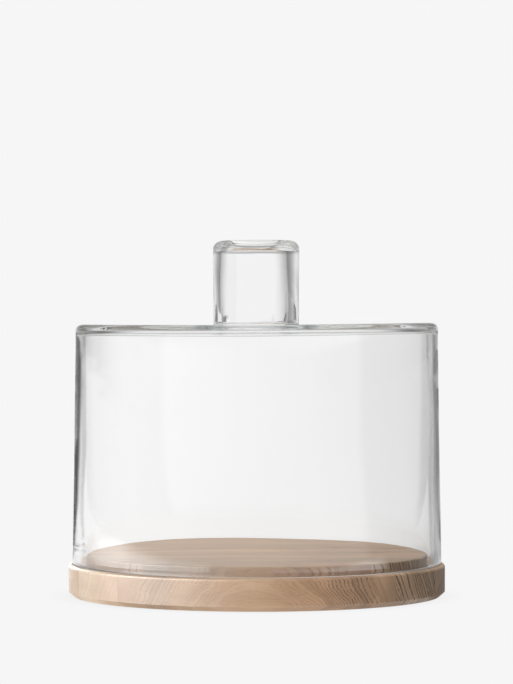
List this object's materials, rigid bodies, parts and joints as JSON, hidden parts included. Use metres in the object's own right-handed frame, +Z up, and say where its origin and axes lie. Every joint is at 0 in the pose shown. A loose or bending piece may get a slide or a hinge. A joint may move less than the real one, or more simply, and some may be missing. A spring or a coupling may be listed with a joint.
{
  "type": "cake stand dome",
  "caption": "Round clear glass cake dome with an open neck handle, on a low turned wooden board with a raised platform; the dome lifts off.",
  "frame": {"origin": "centre of the board's underside, where the stand rests on a table", "axes": "+Z up along the axis of board and dome; +X along the wood grain; -Y to the front"},
  "size_m": [0.32, 0.32, 0.3016],
  "materials": {
    "ash": "matt oiled, pale ash with dark growth rings along X",
    "clear_glass": "clear, fire polished",
    "neck_glass": "clear, thick, fire polished"
  },
  "bodies": {
    "board": {"front_stave": "ash", "second_stave": "ash", "third_stave": "ash", "fourth_stave": "ash", "fifth_stave": "ash", "back_stave": "ash"},
    "dome": {"glass_shell": "clear_glass", "neck_handle": "neck_glass"}
  },
  "joints": [
    {"name": "dome_lift", "type": "slide", "parent": "board", "child": "dome", "axis": [0, 0, 1], "range_m": [0, 0.25]}
  ]
}
